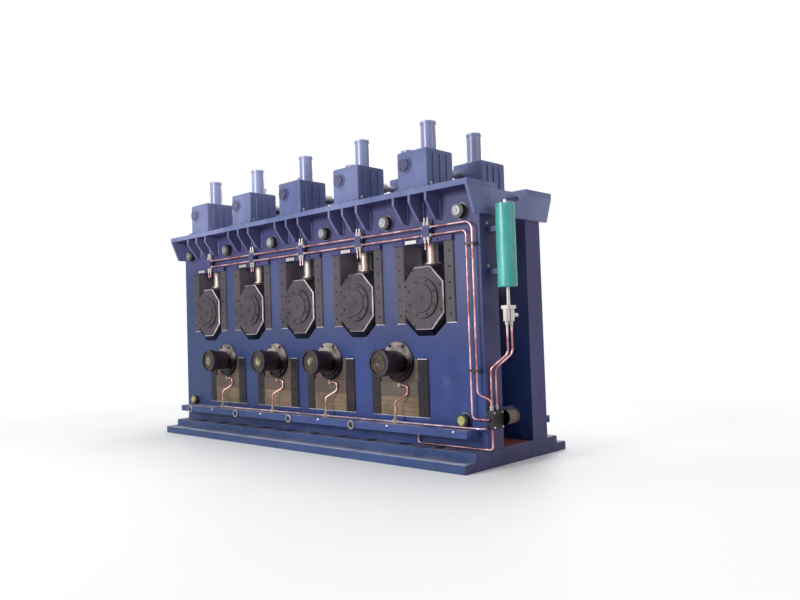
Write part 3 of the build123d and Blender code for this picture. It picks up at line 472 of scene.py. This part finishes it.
def dress_zones():
    """Zones of one node that the real machine leaves bare, paints or plates differently, and zones
    painted lighter or darker as light and shade.
    """
    square_on = 0.9  # the least share of an axis in the normal of a face that looks along it
    jamb_reach = 0.2
    frame_end, plate_end = 1.87, 1.8
    low_fittings, copper_tails = 0.6, (1.0, 1.5435)
    ledge_run_top, ledge_run_y = 0.283, -0.43
    washer_rim, low_dome, high_dome = (FRAME_FACE + proud for proud in (0.0081, 0.05, 0.052))
    shaft_end, hub_end = FRAME_FACE + 0.2, FRAME_FACE + 0.208
    bevel_foot, bevel_reach = FRAME_FACE + 0.0231, 0.16
    pump_cap, tank_cap, tank_foot = 0.3875, 1.7655, 1.2045

    # The gusset noses take the paler tower enamel: a painted highlight on their lit front edges.
    dress_faces("gussets", BLUE_TOWER, lambda c, n: abs(n.y) > 0.95)
    # The undersides of the top flanges take the painted-shade enamel.
    dress_faces("top_flanges", BLUE_PAINTED_SHADE, lambda c, n: n.z < -0.5)
    # The inner jamb faces of the upper liners take the lighter steel: painted light.
    dress_faces("upper_liners", JAMB_PAINTED_LIGHT, lambda c, n: abs(n.x) > square_on
                and min(abs(c.x - x) for x in UPPER_X) < jamb_reach)
    # The end faces of the frames and base plates take the painted-shade enamel.
    for name, end in (("front_side_frame", frame_end), ("rear_side_frame", frame_end),
                      ("bottom_plate", plate_end), ("plinth_plate", plate_end)):
        dress_faces(name, BLUE_PAINTED_SHADE, lambda c, n: abs(n.x) > square_on and abs(c.x) > end)
    dress_faces("tie_rods", OLIVE_END, lambda c, n: abs(c.y) > low_dome and c.z < low_fittings)
    dress_faces("ledge_lines", DUSTY_COPPER, lambda c, n: c.z < ledge_run_top and c.y < ledge_run_y)
    dress_faces("lube_fittings", DULL_BRASS, lambda c, n: c.z < low_fittings)
    dress_faces("lube_fittings", COPPER, lambda c, n: copper_tails[0] < c.z < copper_tails[1])
    dress_faces("tie_rods", CHROME, lambda c, n: FRAME_FACE <= abs(c.y) < washer_rim)
    dress_faces("tie_rods", ROD_END, lambda c, n: abs(c.y) > high_dome and c.z > low_fittings)
    for number in range(1, len(LOWER_X) + 1):
        dress_faces(f"lower_roll_{number}", END_STEEL, lambda c, n: abs(c.y) > shaft_end)
        dress_faces(f"lower_hubs_{number}", NUT_BLACK,
                    lambda c, n: abs(c.y) > hub_end and abs(n.y) > square_on)
    for number, x in enumerate(UPPER_X, 1):
        dress_faces(f"upper_chocks_{number}", BEVEL_STEEL,
                    lambda c, n: abs(c.y) > bevel_foot and 0.3 < abs(n.y) < square_on
                    and Vector((c.x - x, c.z - UPPER_Z)).length > bevel_reach)
    dress_faces("grease_pump", NICKEL, lambda c, n: c.z > pump_cap)
    dress_faces("grease_reservoir", ZINC, lambda c, n: c.z > tank_cap)
    dress_faces("grease_reservoir", NICKEL, lambda c, n: c.z < tank_foot)


def turned(profile, segments=16):
    """A mesh turned about Z from (radius, height) points.

    They begin and end on the axis or, for a ring, at one point away from it.
    """
    merge_distance = 1e-6
    bm = bmesh.new()
    points = [bm.verts.new((radius, 0.0, height)) for radius, height in profile]
    edges = [bm.edges.new(pair) for pair in zip(points, points[1:])]
    bmesh.ops.spin(bm, geom=points + edges, cent=(0, 0, 0), axis=(0, 0, 1), angle=math.tau,
                   steps=segments, use_merge=True, use_duplicate=False)
    bmesh.ops.remove_doubles(bm, verts=bm.verts, dist=merge_distance)
    bmesh.ops.recalc_face_normals(bm, faces=bm.faces)
    mesh = bpy.data.meshes.new("turned")
    bm.to_mesh(mesh)
    bm.free()
    return mesh


def stamp(bm, mesh, place, out):
    """Adds a copy of a turned mesh to a bmesh, its axis along out."""
    start = len(bm.verts)
    bm.from_mesh(mesh)
    bm.verts.ensure_lookup_table()
    turn = Vector(out).to_track_quat("Z", "Y").to_matrix().to_4x4()
    bmesh.ops.transform(bm, matrix=Matrix.Translation(place) @ turn, verts=bm.verts[start:])


def settle(bm, name, body, material, smooth_angle=None):
    """Turns a bmesh into a finished piece on a body."""
    mesh = bpy.data.meshes.new(name)
    bm.to_mesh(mesh)
    bm.free()
    if smooth_angle:
        mesh.shade_smooth()
        mesh.set_sharp_from_angle(angle=math.radians(smooth_angle))
    mesh.materials.append(material)
    piece = bpy.data.objects.new(name, mesh)
    bpy.context.collection.objects.link(piece)
    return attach(piece, body)


def scatter(name, mesh, places, body, material):
    """One piece made of many copies of a mesh: places lists (point, outward direction)."""
    bm = bmesh.new()
    for place, out in places:
        stamp(bm, mesh, place, out)
    return settle(bm, name, body, material, smooth_angle=35)


def bar(bm, low, high, bevel=0.0):
    """Adds a box between two corners to a bmesh, its edges bevelled if asked."""
    low, high = Vector(low), Vector(high)
    size = high - low
    place = Matrix.Translation((low + high) / 2) @ Matrix.Diagonal((*size, 1.0))
    made = bmesh.ops.create_cube(bm, size=1.0, matrix=place)
    if bevel:
        edges = list({edge for vert in made["verts"] for edge in vert.link_edges})
        bmesh.ops.bevel(bm, geom=edges, offset=bevel, affect="EDGES", segments=2, profile=0.5,
                        material=-1)


def strip(bm, side, x_range, inner, outer, z_range, bevel=0.0):
    """Adds a flat bar to one long side, between two distances from the middle plane."""
    near, far = sorted((side * inner, side * outer))
    bar(bm, (x_range[0], near, z_range[0]), (x_range[1], far, z_range[1]), bevel)


def bead(bm, start, end, radius):
    """Adds a round weld bead between two points to a bmesh."""
    start, end = Vector(start), Vector(end)
    run = end - start
    place = Matrix.Translation((start + end) / 2) @ run.to_track_quat("Z", "Y").to_matrix().to_4x4()
    bmesh.ops.create_cone(bm, cap_ends=True, segments=8, radius1=radius, radius2=radius,
                          depth=run.length, matrix=place)


def disc(radius, height, segments):
    """A plain round plate."""
    return turned([(0, 0), (radius, 0), (radius, height), (0, height)], segments)


def cap_screw(radius, height):
    """A socket head cap screw's head with its recess."""
    lip, socket, recess = radius * 0.14, radius * 0.5, height * 0.35
    return turned([(0, 0), (radius, 0), (radius, height - lip), (radius - lip, height),
                   (socket, height), (socket, recess), (0, recess)], segments=14)


def hex_bolt(radius, height):
    """A hexagon bolt's head, chamfered on top."""
    lip = radius * 0.16
    return turned([(0, 0), (radius, 0), (radius, height - lip), (radius - lip, height),
                   (0, height)], segments=6)


def front(side):
    """The outward direction of one long side."""
    return Vector((0, side, 0))


def ring_places(x, reach, z, side, radius, count, start):
    """Places on a circle in a face that looks out to one side, as (point, outward direction)."""
    places = []
    for step in range(count):
        angle = math.radians(start + 360 * step / count)
        spot = Vector((x, side * reach, z))
        places.append((spot + Vector((radius * math.cos(angle), 0, radius * math.sin(angle))),
                       front(side)))
    return places


def grid_places(xs, reach, zs, side):
    """Places in rows in a face that looks out to one side, as (point, outward direction)."""
    return [(Vector((x, side * reach, z)), front(side)) for x in xs for z in zs]


def foundation_washers():
    """A black ring round every hold-down hole in the plinth, along both long sides."""
    holes, pitch, row_y = 10, 0.335, 0.4245
    bore, rim, height, chamfer = 0.0175, 0.037, 0.004, 0.001
    ring = turned([(bore, 0), (rim, 0), (rim, height - chamfer), (rim - chamfer, height),
                   (bore, height), (bore, 0)], segments=20)
    places = [(Vector((pitch * (hole - (holes - 1) / 2), side * row_y, PLINTH_TOP)), UP)
              for side in SIDES for hole in range(holes)]
    scatter("anchor_washers", ring, places, "root", NUT_BLACK)


def keeper_and_liner_screws():
    """Screws of the keeper plates and the liners, and the bare stop at each upper window's head."""
    keeper_offsets, keeper_z = (-0.18, 0.05, 0.15), 1.568
    stop_x, stop_y, stop_z = (-0.15, -0.04), (0.3862, 0.4), (1.553, 1.58)
    liner_offset = 0.24
    upper_rows = [1.04 + 0.11 * row for row in range(5)]
    lower_rows = [0.36 + 0.106 * row for row in range(4)]
    keeper, upper, lower = [], [], []
    stops = bmesh.new()
    for side in SIDES:
        for x in UPPER_X:
            keeper += grid_places([x + offset for offset in keeper_offsets], KEEPER_FACE,
                                  [keeper_z], side)
            upper += grid_places([x - liner_offset, x + liner_offset], LINER_FACE, upper_rows, side)
            strip(stops, side, [x + offset for offset in stop_x], *stop_y, stop_z, bevel=0.003)
        for x in LOWER_X:
            lower += grid_places([x - liner_offset, x + liner_offset], LINER_FACE, lower_rows, side)
    settle(stops, "window_stops", "root", NICKEL)
    # The keeper screws take the same painted-shade enamel as their plates.
    scatter("keeper_screws", cap_screw(0.009, 0.007), keeper, "root", BLUE_PAINTED_SHADE)
    scatter("upper_liner_screws", cap_screw(0.0075, 0.004), upper, "root", DARK_SCREW)
    scatter("lower_liner_screws", cap_screw(0.0095, 0.005), lower, "root", NUT_BLACK)


def chock_fasteners():
    """Cover bolts and face screws on the octagon chocks, and the centre plug of each cover."""
    corners = ((0.165, 0.088), (0.082, 0.198))
    bolt = hex_bolt(0.0085, 0.006)
    face_screw = cap_screw(0.0075, 0.004)
    plug = turned([(0, 0), (0.022, 0), (0.022, 0.002), (0.013, 0.002), (0.012, 0.005),
                   (0, 0.005)], segments=24)
    for number, x in enumerate(UPPER_X, 1):
        bolts, faces, plugs = [], [], []
        for side in SIDES:
            bolts += ring_places(x, COVER_STEP, UPPER_Z, side, radius=0.125, count=8, start=22.5)
            for dx, dz in corners:
                faces += grid_places([x - dx, x + dx], CHOCK_FACE,
                                     [UPPER_Z - dz, UPPER_Z + dz], side)
            plugs += grid_places([x], COVER_FACE, [UPPER_Z], side)
        body = f"upper_set_{number}"
        scatter(f"cover_bolts_{number}", bolt, bolts, body, DARK_SCREW)
        scatter(f"chock_screws_{number}", face_screw, faces, body, DARK_SCREW)
        scatter(f"cover_plugs_{number}", plug, plugs, body, CHOCK_STEEL)


def screw_threads():
    """The threaded stretch of each adjusting screw that shows in its window."""
    pitch, turns = 0.012, 17
    crest, root = 0.0428, 0.0421
    foot, first, head = 1.422, 1.424, 1.63
    ridge = ((root, 0.0), (crest, 0.22), (crest, 0.55), (root, 0.8))
    profile = [(0.0, foot), (root, foot)]
    for turn in range(turns):
        profile += [(radius, first + pitch * turn + pitch * share) for radius, share in ridge]
    profile += [(root, head), (0.0, head)]
    thread = turned(profile, segments=28)
    for number, x in enumerate(UPPER_X, 1):
        places = [(Vector((x, side * SCREW_Y, 0)), UP) for side in SIDES]
        scatter(f"screw_threads_{number}", thread, places, f"upper_set_{number}", SCREW_STEEL)


def shaft_details():
    """Flange bolts, the turned centres of the shaft ends and the ring nuts' locking screws."""
    bolts = []
    for side in SIDES:
        for x in LOWER_X:
            bolts += ring_places(x, FLANGE_FACE, LOWER_Z, side, radius=0.1335, count=6, start=0)
    scatter("flange_bolts", hex_bolt(0.0125, 0.01), bolts, "root", DARK_SCREW)
    centre = turned([(0, 0), (0.064, 0), (0.064, 0.003), (0.056, 0.003), (0.054, 0.001),
                     (0.034, 0.001), (0.031, 0.004), (0.016, 0.004), (0.011, 0.0006),
                     (0, 0.0006)], segments=32)
    lock = disc(0.006, 0.002, segments=10)
    for number, x in enumerate(LOWER_X, 1):
        centres, locks = [], []
        for side in SIDES:
            centres += grid_places([x], SHAFT_END, [LOWER_Z], side)
            locks += ring_places(x, RING_NUT_FACE, LOWER_Z, side, radius=0.0935, count=4, start=20)
        body = f"lower_roll_{number}"
        scatter(f"shaft_centres_{number}", centre, centres, body, END_STEEL)
        scatter(f"ring_nut_locks_{number}", lock, locks, body, DARK_SCREW)


def tie_rod_ends():
    """The turned face and centre hole on each tie rod end."""
    profile = [(0, 0), (0.034, 0), (0.034, 0.003), (0.026, 0.003), (0.024, 0.001),
               (0.012, 0.001), (0.009, 0.004), (0, 0.0005)]
    proud = 0.06
    high, high_z = (-1.725, -1.08, -0.38, 0.32, 1.02, 1.725), 1.738
    low, low_z, low_scale = (-1.7, 1.7), 0.314, 0.86
    for name, xs, z, scale, material in (
            ("tie_rod_faces", high, high_z, 1.0, CHROME),
            ("low_tie_rod_faces", low, low_z, low_scale, OLIVE_END)):
        cap = turned([(radius * scale, height) for radius, height in profile], segments=28)
        reach = FRAME_FACE + proud * scale
        places = [place for side in SIDES for place in grid_places(xs, reach, [z], side)]
        scatter(name, cap, places, "root", material)


def tower_details():
    """Lids, drain plugs and foot bolts of the gearboxes, screws of tube collars and worm covers."""
    foot_offsets, foot_y = (-0.135, -0.045, 0.045, 0.135), 0.4905
    collar_circle, collar_top, collar_screws, first_screw = 0.068, 2.218, 6, 30
    cover_offset, cover_y, cover_z = -0.066, 0.4865, 2.113
    plug_offset, plug_y, plug_z = 0.143, 0.43, 1.96
    box_y, lid_size = 0.3195, Vector((0.27, 0.274, 0.008))
    foot, collar, cover, plugs, lids = [], [], [], [], bmesh.new()
    for side in SIDES:
        for x in UPPER_X:
            foot += [(Vector((x + dx, side * foot_y, DECK_TOP)), UP) for dx in foot_offsets]
            for step in range(collar_screws):
                angle = math.radians(first_screw + 360 / collar_screws * step)
                spot = (x + collar_circle * math.cos(angle),
                        side * SCREW_Y + collar_circle * math.sin(angle), collar_top)
                collar.append((Vector(spot), UP))
            cover += ring_places(x + cover_offset, cover_y, cover_z, side, radius=0.036, count=4,
                                 start=45)
            plugs.append((Vector((x + plug_offset, side * plug_y, plug_z)), ALONG))
            low = Vector((x - lid_size.x / 2, side * box_y - lid_size.y / 2, GEARBOX_TOP))
            bar(lids, low, low + lid_size, bevel=0.003)
    # Lids, foot bolts and collar screws share the tower enamel and its painted sheen.
    settle(lids, "gearbox_lids", "root", BLUE_TOWER)
    scatter("gearbox_foot_bolts", hex_bolt(0.012, 0.01), foot, "root", BLUE_TOWER)
    scatter("tube_collar_screws", cap_screw(0.006, 0.006), collar, "root", BLUE_TOWER)
    scatter("worm_cover_screws", cap_screw(0.005, 0.004), cover, "root", COVER_BLUE)
    scatter("drain_plugs", hex_bolt(0.012, 0.01), plugs, "root", NICKEL)


def ledge_rings_and_nipples():
    """Ring nuts with their dark cores, and grease nipples, along the ledges."""
    ring_xs, ring_z, core_face = (-1.6, -0.833, -0.066, 0.701), 0.234, 0.508
    nipple_xs, nipple_z = (-1.22, -0.46, 0.31, 1.08, 1.7), 0.249
    ring = turned([(0, 0), (0.036, 0), (0.036, 0.009), (0.033, 0.012), (0.025, 0.012),
                   (0.023, 0.008), (0, 0.008)], segments=24)
    core = turned([(0, 0), (0.02, 0), (0.02, 0.002), (0.014, 0.005), (0, 0.005)], segments=20)
    nipple = turned([(0, 0), (0.008, 0), (0.008, 0.004), (0.004, 0.006), (0.005, 0.011),
                     (0, 0.012)], segments=10)
    for name, mesh, xs, reach, z, material, slot in (
            ("ledge_rings", ring, ring_xs, LEDGE_FACE, ring_z, CHROME, "bright_steel"),
            ("ledge_ring_cores", core, ring_xs, core_face, ring_z, DARK_SCREW, "dark_steel"),
            ("ledge_nipples", nipple, nipple_xs, LEDGE_FACE, nipple_z, ZINC, "bright_steel")):
        places = [place for side in SIDES for place in grid_places(xs, reach, [z], side)]
        scatter(name, mesh, places, "root", material)


def bare_edges():
    """Bare machined edges below the windows and across the lower liners, edges of the spacers."""
    trim, spacer_trim = 0.0015, 0.0006
    notch_x, notch_z = (0.192, 0.28), (WINDOW_BOTTOM - 0.007, WINDOW_BOTTOM - 0.0005)
    joint_x, joint_z = (0.194, 0.288), (0.7225, 0.7275)
    sill_x, sill_z = (-0.288, 0.288), (0.305, 0.3115)
    spacer_x, spacer_levels, spacer_line = (-0.189, 0.189), (0.3416, 0.3756, 0.4096), 0.0022
    edges, plates = bmesh.new(), bmesh.new()
    for side in SIDES:
        for x in UPPER_X:
            for hand in SIDES:
                strip(edges, side, sorted(x + hand * dx for dx in notch_x), FRAME_FACE,
                      FRAME_FACE + trim, notch_z)
        for x in LOWER_X:
            for hand in SIDES:
                strip(edges, side, sorted(x + hand * dx for dx in joint_x), LINER_FACE,
                      LINER_FACE + trim, joint_z)
            strip(edges, side, [x + dx for dx in sill_x], FRAME_FACE, FRAME_FACE + trim, sill_z)
            for level in spacer_levels:
                strip(plates, side, [x + dx for dx in spacer_x], SPACER_FACE,
                      SPACER_FACE + spacer_trim, (level, level + spacer_line))
    bmesh.ops.recalc_face_normals(edges, faces=edges.faces)
    settle(edges, "bare_window_edges", "root", BEVEL_STEEL)
    settle(plates, "spacer_plate_edges", "root", ROD_END)


def welds():
    """Painted beads where the gussets, frames and base plates are welded; the upright ones at the
    gusset roots are paler, a painted highlight.
    """
    gusset_offsets, gusset_half, gusset_nose = (-0.155, 0.0, 0.155), 0.011, 0.504
    upright_y, upright_z = 0.364, (1.708, 1.845)
    flange_z, half_length = 1.8842, 1.872
    long_seams = ((0.3632, 0.1192, 0.0062), (0.4882, 0.0642, 0.0062), (0.3632, flange_z, 0.005))
    level, upright = bmesh.new(), bmesh.new()
    for side in SIDES:
        for x in UPPER_X:
            for offset in gusset_offsets:
                for hand in SIDES:
                    wall = x + offset + hand * gusset_half
                    root, nose = side * upright_y, side * gusset_nose
                    bead(upright, (wall, root, upright_z[0]), (wall, root, upright_z[1]), 0.0052)
                    bead(level, (wall, root, flange_z), (wall, nose, flange_z), 0.0042)
        for reach, z, radius in long_seams:
            bead(level, (-half_length, side * reach, z), (half_length, side * reach, z), radius)
    # The upright beads take the pale bead enamel: a painted highlight.
    for bm, name, material in ((level, "weld_beads", BLUE), (upright, "gusset_beads", BEAD_BLUE)):
        bmesh.ops.recalc_face_normals(bm, faces=bm.faces)
        settle(bm, name, "root", material, smooth_angle=50)


def tube_nuts():
    """Compression nuts where the copper lines enter their manifolds and the blocks on the ledge."""
    manifold_offset, manifold_half, line_y, line_levels = 0.066, 0.031, -0.402, (1.5995, 1.6565)
    block_offset, block_half, block_y, block_z = 0.022, 0.015, -0.44, 0.274
    places = []
    for number, x in enumerate(UPPER_X):
        centre = x + manifold_offset
        for z in line_levels:
            places.append((Vector((centre + manifold_half, line_y, z)), ALONG))
            if number > 0:
                places.append((Vector((centre - manifold_half, line_y, z)), -ALONG))
    for x in LOWER_X:
        for hand in SIDES:
            spot = (x + block_offset + hand * block_half, block_y, block_z)
            places.append((Vector(spot), hand * ALONG))
    nut = hex_bolt(0.0125, 0.018)
    scatter("line_tube_nuts", nut, places, "root", NICKEL)


def grease_unit_details():
    """Screws of the tank arms and the pump, the motor's end bell and its two bands."""
    arm_x, arm_ys, arm_zs = 1.8755, (-0.232 - 0.055, -0.232 + 0.055), (1.353, 1.645)
    pump_x, pump_ys, pump_zs = 1.93, (-0.35, -0.261), (0.276, 0.373)
    motor_x, motor_z, bell_y, band_ys = 1.929, 0.333, -0.137, (-0.247, -0.153)
    arms = [(Vector((arm_x, y, z)), ALONG) for z in arm_zs for y in arm_ys]
    scatter("tank_arm_screws", cap_screw(0.008, 0.008), arms, "root", ZINC)
    pump = [(Vector((pump_x, y, z)), ALONG) for y in pump_ys for z in pump_zs]
    scatter("pump_screws", cap_screw(0.007, 0.006), pump, "root", ZINC)
    bell = turned([(0, 0), (0.05, 0), (0.05, 0.012), (0.044, 0.02), (0.02, 0.02),
                   (0.018, 0.026), (0, 0.026)], segments=32)
    end = [(Vector((motor_x, bell_y, motor_z)), BACK)]
    scatter("motor_bell", bell, end, "root", BLACK_CAST)
    bands = [(Vector((motor_x, y, motor_z)), BACK) for y in band_ys]
    band = disc(0.0515, 0.008, segments=32)
    scatter("motor_bands", band, bands, "root", BLACK_CAST)


def place_camera():
    """A camera where the photographer stood: its place, heading, tilt and roll come from a fit."""
    place = (4.8678, -4.3087, 0.9537)
    azimuth, elevation, roll = (math.radians(angle) for angle in (43.53, 2.16, -1.863))
    picture_width, focal_pixels, sensor_width = 800, 738.81, 36.0
    ahead = Vector((-math.sin(azimuth) * math.cos(elevation),
                    math.cos(azimuth) * math.cos(elevation), math.sin(elevation)))
    level = Vector((math.cos(azimuth), math.sin(azimuth), 0))
    raised = level.cross(ahead)
    right = math.cos(roll) * level + math.sin(roll) * raised
    above = -math.sin(roll) * level + math.cos(roll) * raised
    turn = Matrix((right, above, -ahead)).transposed().to_4x4()
    camera = bpy.data.objects.new("camera", bpy.data.cameras.new("camera"))
    bpy.context.collection.objects.link(camera)
    camera.data.sensor_width = sensor_width
    camera.data.lens = focal_pixels * sensor_width / picture_width
    camera.matrix_world = Matrix.Translation(place) @ turn
    bpy.context.scene.camera = camera


def soft_lamp(name, place, aim, size, power):
    """A rectangular lamp at a place, turned to its aim."""
    light = bpy.data.lights.new(name, "AREA")
    light.shape = "RECTANGLE"
    light.size, light.size_y = size
    light.energy = power
    lamp = bpy.data.objects.new(name, light)
    bpy.context.collection.objects.link(lamp)
    place = Vector(place)
    turn = (place - Vector(aim)).to_track_quat("Z", "Y").to_matrix().to_4x4()
    lamp.matrix_world = Matrix.Translation(place) @ turn


def light_studio():
    """Soft lamps in front, above, behind and, the weakest, at the near end, in a pale world."""
    soft_lamp("front_lamp", place=(-0.6, -8.8, 3.4), aim=(0.0, 0.0, 1.2), size=(2.6, 2.4),
              power=560)
    soft_lamp("top_lamp", place=(-0.5, 0.5, 6.5), aim=(0.0, 0.0, 1.5), size=(6.0, 3.0), power=260)
    soft_lamp("end_lamp", place=(8.0, 1.0, 3.5), aim=(1.5, 0.0, 1.1), size=(3.0, 3.0), power=60)
    soft_lamp("back_lamp", place=(-2.0, 8.0, 4.5), aim=(0.0, 0.0, 1.2), size=(4.0, 3.0), power=220)
    world = bpy.data.worlds.new("pale_world")
    bpy.context.scene.world = world
    world.use_nodes = True
    sky = Nodework(world.node_tree)
    fill = world.node_tree.nodes["Background"]
    fill.inputs["Color"].default_value = (0.62, 0.64, 0.68, 1.0)
    fill.inputs["Strength"].default_value = 0.42
    white = sky.add("ShaderNodeBackground", {}, {"Color": WHITE})
    sky.show(sky.background_rays(), Signal(sky, fill.outputs[0]), white, "World Output")


def lay_floor():
    """A pale floor that keeps the shadow and fades to white away from the machine."""
    half_side, drop, fade = 40.0, 0.0005, (1.2, 5.5)
    bm = bmesh.new()
    bmesh.ops.create_grid(bm, x_segments=1, y_segments=1, size=half_side,
                          matrix=Matrix.Translation((0, 0, -drop)))
    mesh = bpy.data.meshes.new("floor")
    bm.to_mesh(mesh)
    bm.free()
    finish = Finish("pale_floor", roughness=0.6)
    cloud = finish.noise(scale=0.8, detail=4.0)
    finish.feed("Base Color", finish.mix(cloud, rgb(238, 238, 238), rgb(246, 246, 245)))
    reach = (finish.x ** 2 + finish.y ** 2) ** 0.5
    plain = Signal(finish, finish.shader.outputs[0])
    glow = finish.add("ShaderNodeEmission", {}, {"Color": WHITE})
    finish.show(finish.background_rays() * reach.between(*fade), plain, glow, "Material Output")
    mesh.materials.append(finish.material)
    floor = bpy.data.objects.new("floor", mesh)
    bpy.context.collection.objects.link(floor)


dress_nodes()
dress_zones()
foundation_washers()
keeper_and_liner_screws()
chock_fasteners()
screw_threads()
shaft_details()
tie_rod_ends()
tower_details()
ledge_rings_and_nipples()
bare_edges()
welds()
tube_nuts()
grease_unit_details()
place_camera()
light_studio()
lay_floor()
bpy.context.scene.view_settings.view_transform = "Standard"
